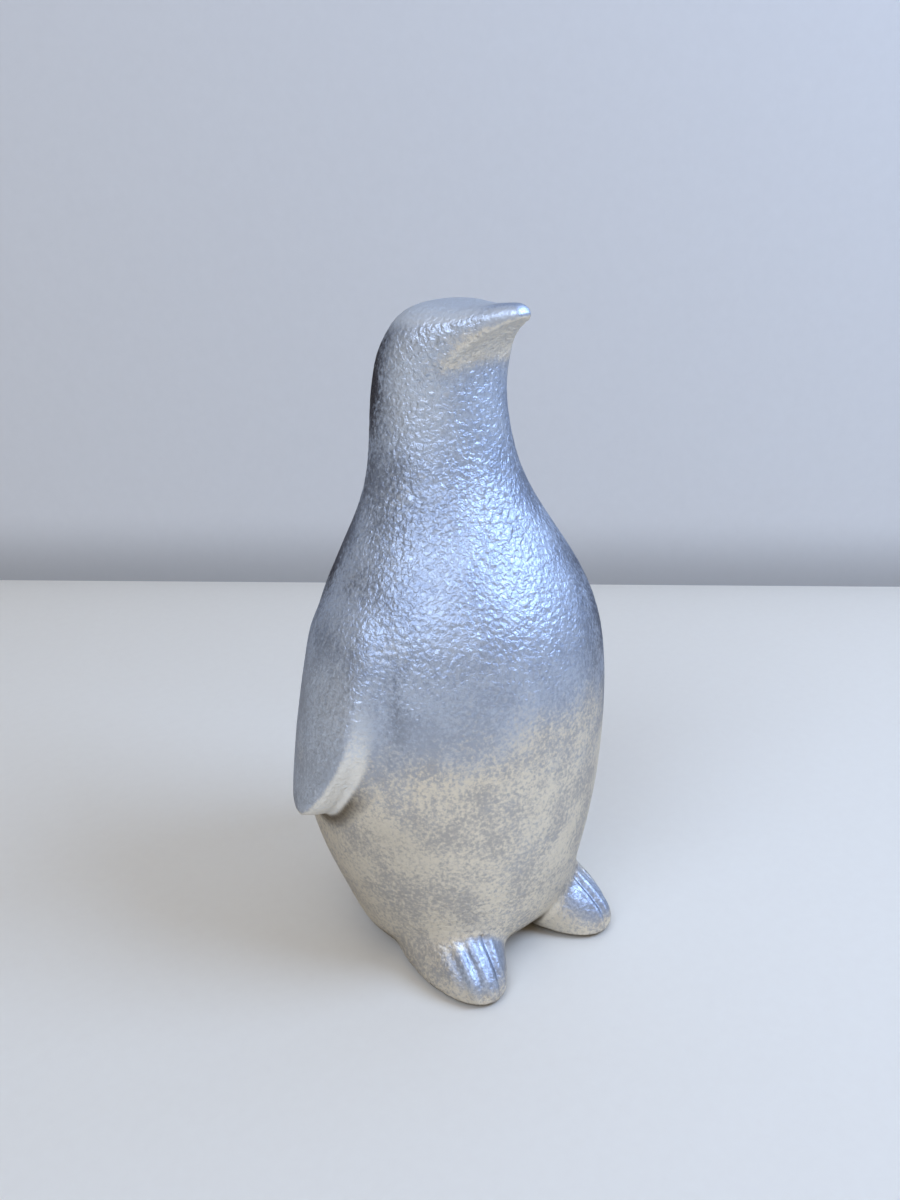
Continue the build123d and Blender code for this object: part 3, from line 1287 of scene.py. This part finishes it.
@dataclass(frozen=True)
class SilverLustre:
    """Silver lustre fired on hammered clay: cool where it lies thick, champagne where it is thin.

    The eye gets a soft satin metal, crumpled like leaf above, broken into warm flakes below and
    smooth where it is handled, brightened by painted light and darkened by painted shade in places.

    Attributes:
        name: the material's name.
        cool: thick lustre.
        shade: thick lustre in its duller flakes.
        champagne: thin lustre, where warm clay shines through, and painted warm reflection where it faces
            down.
        smoke: thin lustre in its duller flakes.
        grey: thick lustre between the champagne flakes of the lower body.
        mottle_and_shade_grey: dull flakes on the flippers, and painted shade on the flanks and back of the
            head.
        lit_silver: painted light, thick lustre made brighter where too little light reaches it.
        lit_cream: painted light, thin lustre made brighter where too little light reaches it.
        shade_brown: painted shade, the brown under the flipper tips, between the feet and on the right hip.
        edge_tint: what is left of the reflection where the surface turns away.
        patches: size, layers and roughness of the champagne patches.
        clouds: the same of the clouds in which the flakes turn duller together.
        flakes: the same of the flakes. Real ones are finer, and these are as coarse as they need
            to be to show.
        crinkles: the same of the hammered crinkles, which are about 1 mm apart as on crumpled leaf.
        crinkle_bend: how far the crinkles are bent.
        crinkle_depth: how deep they are, in millimetres.
        weights: how much the patches, the flakes, the clouds and the mottling with its painted shade add.
        warm_span: the sum of patches, flakes and thinness between which champagne takes over.
        dull_span: the sum of clouds and flakes between which the dull flakes end.
        flake_span: the part of the flakes' range that the roughness follows.
        greying: how thin the lustre is where it greys most, and how grey it gets.
        painted_light_strength: how far a place with painted light goes to the lit silver or cream.
        roughness: the shader's roughness in the gaps of the flakes and on them.
        metallic: the shader's metallic value on thick and on thin lustre.
        relief: how strong the crinkles are where nothing is rubbed, and where all is.
    """

    name: str
    cool: str = "#CAD7EB"
    shade: str = "#B0BDD3"
    champagne: str = "#EEE5D2"
    smoke: str = "#B7B3AE"
    grey: str = "#C2C1C0"
    mottle_and_shade_grey: str = "#62636B"
    lit_silver: str = "#EEF6FF"
    lit_cream: str = "#FFFDF6"
    shade_brown: str = "#5E513C"
    edge_tint: str = "#6E5E4A"
    # Each size is in millimetres, from how many go into a metre
    patches: tuple[float, float, float] = (1000 / 62, 3.0, 0.55)
    clouds: tuple[float, float, float] = (1000 / 90, 2.0, 0.5)
    flakes: tuple[float, float, float] = (1000 / 1050, 5.0, 0.72)
    crinkles: tuple[float, float, float] = (1000 / 830, 2.5, 0.5)
    crinkle_bend: float = 0.3
    crinkle_depth: float = 0.80
    weights: tuple[float, float, float, float] = (1.2, 1.2, 0.6, -0.16)
    warm_span: tuple[float, float] = (1.38, 2.22)
    dull_span: tuple[float, float] = (0.64, 0.91)
    flake_span: tuple[float, float] = (0.3, 0.7)
    greying: tuple[float, float] = (1.1, 0.8)
    painted_light_strength: float = 0.9
    roughness: tuple[float, float] = (0.56, 0.44)
    metallic: tuple[float, float] = (0.94, 0.60)
    relief: tuple[float, float] = (1.0, 0.22)

    def build(self) -> bpy.types.Material:
        """Makes the material.

        Returns:
            The material, on Object coordinates and the mesh's named shares.
        """
        material = bpy.data.materials.new(self.name)
        material.use_nodes = True
        tree = material.node_tree
        add = partial(add_node, tree)
        shader = tree.nodes["Principled BSDF"]
        place = add("ShaderNodeTexCoord").outputs["Object"]
        # The mesh shares: thin lustre with painted reflection, rubbing, mottling with painted shade,
        # painted light, painted shade
        thin, rubbed, mottled, burnished, soiled = (
            add("ShaderNodeAttribute", {"attribute_name": name}).outputs["Fac"]
            for name in ("thin_lustre", "rubbed", "mottled", "burnished", "soiled")
        )
        patches, clouds, flakes, crinkles = (
            add(
                "ShaderNodeTexNoise",
                inputs={"Vector": place, "Scale": 1 / (size * MM), "Detail": detail, "Roughness": rough},
            )
            for size, detail, rough in (self.patches, self.clouds, self.flakes, self.crinkles)
        )
        crinkles.inputs["Distortion"].default_value = self.crinkle_bend
        patch, cloud, flake, crinkle = (
            noise.outputs["Fac"] for noise in (patches, clouds, flakes, crinkles)
        )
        patch_weight, flake_weight, cloud_weight, mottle_and_shade_weight = self.weights
        weighed = {"operation": "MULTIPLY_ADD"}
        spread = add("ShaderNodeMath", weighed, {0: patch, 1: patch_weight, 2: thin}).outputs[0]
        broken = add("ShaderNodeMath", weighed, {0: flake, 1: flake_weight, 2: spread}).outputs[0]
        speckle = add("ShaderNodeMath", weighed, {0: cloud, 1: cloud_weight, 2: flake}).outputs[0]
        # Duller flakes where the mottling and the painted shade lie
        dull_and_shade = add("ShaderNodeMath", weighed, {0: mottled, 1: mottle_and_shade_weight, 2: speckle}).outputs[0]
        warm, dull = (
            add(
                "ShaderNodeMapRange",
                {"interpolation_type": "SMOOTHSTEP"},
                {"Value": value, "From Min": start, "From Max": end},
            ).outputs[0]
            for value, (start, end) in ((broken, self.warm_span), (dull_and_shade, self.dull_span))
        )
        thinnest, greyest = self.greying
        greyed, shine, rough, metal, strength = (
            add(
                "ShaderNodeMapRange",
                inputs={"Value": value, "From Min": start, "From Max": end, "To Min": low, "To Max": high},
            ).outputs[0]
            for value, (start, end), (low, high) in (
                (thin, (0, thinnest), (0, greyest)),
                (burnished, (0, 1), (0, self.painted_light_strength)),
                (flake, self.flake_span, self.roughness),
                (warm, (0, 1), self.metallic),
                (rubbed, (0, 1), self.relief),
            )
        )
        layers: dict[str, bpy.types.NodeSocket] = {}
        # The layers below mix the lustre's colours with painted shade in the flakes and recesses, and
        # painted light where brightened
        for name, share, under, over in (
            ("flaked", mottled, self.shade, self.mottle_and_shade_grey),
            ("thick", dull, "flaked", self.cool),
            ("worn", dull, self.smoke, self.champagne),
            ("greyed", greyed, "thick", self.grey),
            ("lustre", warm, "greyed", "worn"),
            ("lit_silver", warm, self.lit_silver, self.lit_cream),
            ("bright", shine, "lustre", "lit_silver"),
            ("soiled", soiled, "bright", self.shade_brown),
        ):
            ends = [layers[end] if end in layers else linear(end) for end in (under, over)]
            mix = add("ShaderNodeMix", {"data_type": "RGBA"}, {0: share, 6: ends[0], 7: ends[1]})
            layers[name] = mix.outputs[2]
        depth = self.crinkle_depth * MM
        bump = add("ShaderNodeBump", inputs={"Strength": strength, "Distance": depth, "Height": crinkle})
        for name, value in (
            ("Base Color", layers["soiled"]),
            ("Roughness", rough),
            ("Metallic", metal),
            ("Normal", bump.outputs[0]),
        ):
            tree.links.new(value, shader.inputs[name])
        shader.inputs["Specular Tint"].default_value = linear(self.edge_tint)
        return material


@dataclass(frozen=True)
class PlainFinish:
    """A dull finish with a fine grain: pressed felt, moulded rubber, a painted table or a wall.

    Attributes:
        name: the material's name.
        light: the colour on the raised grain.
        dark: the colour in the hollows.
        grain: how far apart the grain is, in millimetres.
        relief: how deep the grain is, in millimetres.
        roughness: the shader's roughness.
        layers: how many finer layers the grain has, and how strong these are.
        bump: how strong the relief is.
    """

    name: str
    light: str
    dark: str
    grain: float
    relief: float
    roughness: float
    layers: tuple[float, float] = (4.0, 0.6)
    bump: float = 0.5

    def build(self) -> bpy.types.Material:
        """Makes the material.

        Returns:
            The material, on Object coordinates.
        """
        material = bpy.data.materials.new(self.name)
        material.use_nodes = True
        tree = material.node_tree
        add = partial(add_node, tree)
        shader = tree.nodes["Principled BSDF"]
        place = add("ShaderNodeTexCoord").outputs["Object"]
        detail, rough = self.layers
        grain = add(
            "ShaderNodeTexNoise",
            inputs={"Vector": place, "Scale": 1 / (self.grain * MM), "Detail": detail, "Roughness": rough},
        ).outputs["Fac"]
        ends = {6: linear(self.dark), 7: linear(self.light)}
        colour = add("ShaderNodeMix", {"data_type": "RGBA"}, {0: grain, **ends})
        depth = self.relief * MM
        bump = add("ShaderNodeBump", inputs={"Strength": self.bump, "Distance": depth, "Height": grain})
        tree.links.new(colour.outputs[2], shader.inputs["Base Color"])
        tree.links.new(bump.outputs[0], shader.inputs["Normal"])
        shader.inputs["Roughness"].default_value = self.roughness
        return material


@dataclass(frozen=True)
class Lamp:
    """A round soft lamp that faces the figure.

    Attributes:
        name: the lamp's name.
        towards: the direction from the figure to the lamp.
        distance: how far away the lamp is, in millimetres.
        size: its diameter, in millimetres.
        power: its power in watts.
        colour: its colour.
        aim: the height on the figure that it faces, in millimetres.
    """

    name: str
    towards: tuple[float, float, float]
    distance: float
    size: float
    power: float
    colour: str
    aim: float = 80.0

    def build(self) -> None:
        """Adds the lamp to the scene."""
        data = bpy.data.lights.new(self.name, "AREA")
        data.shape = "DISK"
        data.size = self.size * MM
        data.energy = self.power
        data.color = linear(self.colour)[:3]
        lamp = bpy.data.objects.new(self.name, data)
        bpy.context.scene.collection.objects.link(lamp)
        towards = Vector(self.towards)
        lamp.location = Vector((0, 0, self.aim * MM)) + towards.normalized() * self.distance * MM
        lamp.rotation_euler = towards.to_track_quat("Z", "Y").to_euler()


@dataclass
class Stage:
    """The table, the wall behind it, the lamps and the camera.

    Attributes:
        eye: where the camera is, in millimetres.
        azimuth: how far the camera stands round the figure from its front, in degrees, and below
            zero on the penguin's right.
        pitch: how far it looks down, in degrees.
        yaw: how far it is turned to its right, in degrees.
        focal_share: the focal length over the frame's height, both in pixels of the photograph.
        sensor: the height of the camera's sensor, in millimetres.
        clip: the nearest and the farthest that the camera sees, in metres.
        table_size: the side of the table top, in metres.
        wall_size: the wall's width and height, in metres.
        wall_distance: how far the wall is from the camera, in millimetres.
        foot_height: how far up the wall is darker at its foot, in millimetres.
        foot_share: what is left of its colour there.
        lamps: a bluish key lamp in front on the penguin's left, and a weaker one on its right.
        room_far: the room's colour where it is darkest.
        room_near: its colour where it is brightest, which is above and behind the camera.
        room_towards: the way to that side: to the camera's right, back behind it, and up.
        room_span: how near to that way the room starts to brighten, and where it is brightest.
    """

    eye: tuple[float, float, float] = (-153.7, -181.9, 199.4)
    azimuth: float = -41.0
    pitch: float = 25.0
    yaw: float = -0.94
    focal_share: float = 1100 / 1200
    sensor: float = 36.0
    clip: tuple[float, float] = (0.01, 20.0)
    table_size: float = 6.0
    wall_size: tuple[float, float] = (6.0, 3.0)
    wall_distance: float = 445.0
    foot_height: float = 34.0
    foot_share: float = 0.62
    lamps: tuple[Lamp, ...] = (
        Lamp("key", (0.46, -0.55, 0.72), 700.0, 400.0, 3.8, "#B6D2FF"),
        Lamp("sky", (-0.658, -0.223, 0.70), 850.0, 520.0, 3.1, "#C6DCFF"),
    )
    room_far: str = "#4A3F33"
    room_near: str = "#AEA18D"
    room_towards: tuple[float, float, float] = (-0.05, 0.6, 0.8)
    room_span: tuple[float, float] = (-0.55, 0.75)

    def back(self) -> Vector:
        """The level direction from the figure to the camera."""
        turn = math.radians(self.azimuth)
        return Vector((math.sin(turn), -math.cos(turn), 0))

    def right(self) -> Vector:
        """The level direction to the camera's right."""
        turn = math.radians(self.azimuth)
        return Vector((math.cos(turn), math.sin(turn), 0))

    def build(self) -> None:
        """Makes the table, the wall, the lamps, the room's light and the camera."""
        self.table()
        self.wall()
        for lamp in self.lamps:
            lamp.build()
        self.room()
        self.camera()

    def plane(self, name: str, width: float, depth: float) -> bpy.types.Object:
        """Adds a level sheet about the origin.

        Args:
            name: the sheet's name.
            width: its size along X, in metres.
            depth: its size along Y, in metres.

        Returns:
            The sheet.
        """
        deselect()
        bpy.ops.mesh.primitive_plane_add(size=1)
        sheet = bpy.context.object
        sheet.name = name
        move_to(sheet, coordinates(sheet) * np.array([width, depth, 1]))
        return sheet

    def table(self) -> None:
        """Lays a table top of painted board, which the eye sees as an even matt cream."""
        top = self.plane("table_top", self.table_size, self.table_size)
        paint = PlainFinish("cream_painted_board", "#E9E4D8", "#E5DFD3", 3.0, 0.01, 0.6)
        top.data.materials.append(paint.build())

    def wall(self) -> None:
        """Stands up a wall with matt paint, a flat pale grey that is clear when seen from behind."""
        width, height = self.wall_size
        wall = self.plane("wall", width, height)
        foot = Vector((self.eye[0], self.eye[1], 0)) * MM - self.back() * self.wall_distance * MM
        turn = Matrix.Rotation(math.radians(self.azimuth), 4, "Z") @ Matrix.Rotation(math.pi / 2, 4, "X")
        wall.data.transform(Matrix.Translation(foot + Vector((0, 0, height / 2))) @ turn)
        material = PlainFinish("matt_blue_grey_wall_paint", "#DADBDC", "#D5D6D7", 4.0, 0.02, 0.9).build()
        tree = material.node_tree
        self.darken_foot(tree)
        facing = add_node(tree, "ShaderNodeNewGeometry").outputs["Backfacing"]
        clear = add_node(tree, "ShaderNodeBsdfTransparent").outputs[0]
        paint = tree.nodes["Principled BSDF"].outputs[0]
        mixed = add_node(tree, "ShaderNodeMixShader", inputs={0: facing, 1: paint, 2: clear})
        tree.links.new(mixed.outputs[0], tree.nodes["Material Output"].inputs["Surface"])
        wall.data.materials.append(material)

    def darken_foot(self, tree: bpy.types.NodeTree) -> None:
        """Darkens the wall along its foot, where less of the room's light reaches it.

        Args:
            tree: the nodes of the wall's paint.
        """
        add = partial(add_node, tree)
        shader = tree.nodes["Principled BSDF"]
        paint = shader.inputs["Base Color"].links[0].from_socket
        place = add("ShaderNodeTexCoord").outputs["Object"]
        height = add("ShaderNodeSeparateXYZ", inputs={0: place}).outputs["Z"]
        rise = {"Value": height, "From Max": self.foot_height * MM, "To Min": self.foot_share}
        share = add("ShaderNodeMapRange", {"interpolation_type": "SMOOTHSTEP"}, rise).outputs[0]
        shaded = add("ShaderNodeVectorMath", {"operation": "SCALE"}, {0: paint, "Scale": share})
        tree.links.new(shaded.outputs[0], shader.inputs["Base Color"])

    def room(self) -> None:
        """Lights the scene from all round, most strongly from above and behind the camera."""
        world = bpy.data.worlds.new("room")
        bpy.context.scene.world = world
        world.use_nodes = True
        add = partial(add_node, world.node_tree)
        direction = add("ShaderNodeTexCoord").outputs["Generated"]
        right, behind, up = self.room_towards
        bright = self.right() * right + self.back() * behind + Vector((0, 0, up))
        towards = add("ShaderNodeVectorMath", {"operation": "DOT_PRODUCT"}, {0: direction, 1: bright})
        start, end = self.room_span
        span = {"Value": towards.outputs["Value"], "From Min": start, "From Max": end}
        share = add("ShaderNodeMapRange", {"interpolation_type": "SMOOTHSTEP"}, span).outputs[0]
        ends = {6: linear(self.room_far), 7: linear(self.room_near)}
        colour = add("ShaderNodeMix", {"data_type": "RGBA"}, {0: share, **ends}).outputs[2]
        background = world.node_tree.nodes["Background"]
        world.node_tree.links.new(colour, background.inputs["Color"])
        background.inputs["Strength"].default_value = 1.0

    def camera(self) -> None:
        """Sets up the camera of the photograph."""
        data = bpy.data.cameras.new("camera")
        data.sensor_width = self.sensor
        data.lens = data.sensor_width * self.focal_share
        data.clip_start, data.clip_end = self.clip
        camera = bpy.data.objects.new("camera", data)
        bpy.context.scene.collection.objects.link(camera)
        pitch, yaw = math.radians(self.pitch), math.radians(self.yaw)
        forward = -self.back() * math.cos(pitch) + Vector((0, 0, -math.sin(pitch)))
        forward = forward * math.cos(yaw) + self.right() * math.sin(yaw)
        camera.location = Vector(self.eye) * MM
        camera.rotation_mode = "QUATERNION"
        camera.rotation_quaternion = forward.to_track_quat("-Z", "Y")
        bpy.context.scene.camera = camera


@dataclass
class Figure:
    """The whole figurine: its skins, the bung and the pads, each with its finish."""

    slots: dict[str, Slot] = field(
        default_factory=lambda: {
            "body_shell": Slot.BODY,
            "right_flipper": Slot.BODY,
            "left_flipper": Slot.BODY,
            "tail": Slot.BODY,
            "right_foot": Slot.FEET,
            "left_foot": Slot.FEET,
        }
    )
    # Half width and half length of the pads
    foot_pad: tuple[float, float] = (8.5, 16.35)
    tail_pad: tuple[float, float] = (6.25, 9.05)

    def finishes(self) -> dict[Slot, bpy.types.Material]:
        """Makes the material of each slot.

        Returns:
            The materials by their slot.
        """
        return {
            # Lustre on hammered clay, a crumpled satin silver
            Slot.BODY: SilverLustre("silver_lustre_on_hammered_clay").build(),
            # The same lustre on clay that the fingers smoothed, which the feet's shares show
            Slot.FEET: SilverLustre("silver_lustre_on_smoothed_clay").build(),
            # Pressed wool felt, dark and fuzzy with no shine
            Slot.FELT: PlainFinish("pressed_wool_felt", "#5A5652", "#3E3B38", 0.5, 0.15, 0.95).build(),
            # Soft rubber from a mould, pale and even with a faint satin shine
            Slot.BUNG: PlainFinish("moulded_soft_rubber", "#CFC8B8", "#C2BBAB", 0.8, 0.02, 0.6).build(),
        }

    def build(self) -> None:
        """Makes every piece, dresses it and lets it ride on the model."""
        skin = Skin()
        pieces = skin.part(skin.fuse())
        finishes = self.finishes()
        for node, piece in pieces.items():
            self.dress(piece, node, self.slots[node], finishes)
        for node, lobe, half_sizes in (
            ("right_foot_pad", skin.right_foot, self.foot_pad),
            ("left_foot_pad", skin.left_foot, self.foot_pad),
            ("tail_pad", skin.tail, self.tail_pad),
        ):
            pad = Pad(node, lobe.centre[:2], half_sizes, lobe.turn)
            self.dress(pad.build(), node, Slot.FELT, finishes)
        self.dress(Bung().build(), "pour_hole_bung", Slot.BUNG, finishes)

    def dress(
        self, piece: bpy.types.Object, node: str, slot: Slot, finishes: dict[Slot, bpy.types.Material]
    ) -> None:
        """Gives a piece its finish and lets it ride in place of its CAD node.

        Args:
            piece: the finished mesh object.
            node: the CAD node that it stands for.
            slot: the record's material slot.
            finishes: the material of each slot.
        """
        piece.data.materials.append(finishes[slot])
        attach(piece, "root")
        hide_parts(node)
        LOG.info("%s: %d faces", piece.name, len(piece.data.polygons))


def main() -> None:
    """Builds the figure and its stage."""
    logging.basicConfig(level=logging.INFO, format="%(name)s: %(message)s")
    bpy.context.scene.view_settings.view_transform = "Standard"
    Figure().build()
    Stage().build()


if __name__ == "__main__":
    main()
